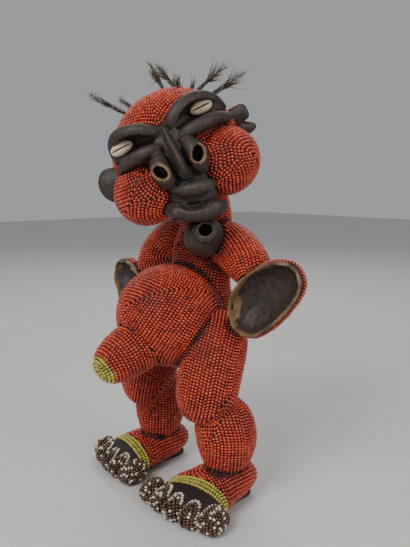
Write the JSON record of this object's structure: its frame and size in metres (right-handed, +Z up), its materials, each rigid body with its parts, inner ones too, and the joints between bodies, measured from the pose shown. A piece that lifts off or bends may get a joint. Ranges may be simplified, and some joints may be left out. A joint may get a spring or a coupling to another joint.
{
  "type": "power figure",
  "caption": "Standing carved wooden figure covered in rows of glass beads, with bare carved face and cupped palms, shell eyes and fibre tufts; stands on its own feet.",
  "frame": {"origin": "on the floor, under the middle of the figure's outline", "axes": "+Z is up; -Y is the way the belly and the toes point; +X is the figure's own left"},
  "size_m": [0.2569, 0.1492, 0.395],
  "materials": {
    "carved_wood": "dark, waxed by handling, worn paler on the edges",
    "red_beads": "opaque glass beads, dulled by grime in the creases",
    "yellow_beads": "opaque glass beads",
    "pale_beads": "cream and clear brownish glass beads",
    "cowrie_shell": "smooth shell, yellowed",
    "plant_fibre": "dry stiff fibre with frayed pale tips"
  },
  "bodies": {
    "root": {"carved_figure": "carved_wood", "red_bead_cover": "red_beads", "yellow_bead_tip": "yellow_beads", "yellow_bead_band_left": "yellow_beads", "yellow_bead_band_right": "yellow_beads", "toe_bead_cover_left": "pale_beads", "toe_bead_cover_right": "pale_beads", "cowrie_eye_left": "cowrie_shell", "cowrie_eye_right": "cowrie_shell", "fibre_tuft_1": "plant_fibre", "fibre_tuft_2": "plant_fibre", "fibre_tuft_3": "plant_fibre", "fibre_tuft_4": "plant_fibre", "fibre_tuft_5": "plant_fibre", "fibre_tuft_6": "plant_fibre", "fibre_tuft_7": "plant_fibre", "fibre_tuft_8": "plant_fibre"}
  },
  "joints": []
}
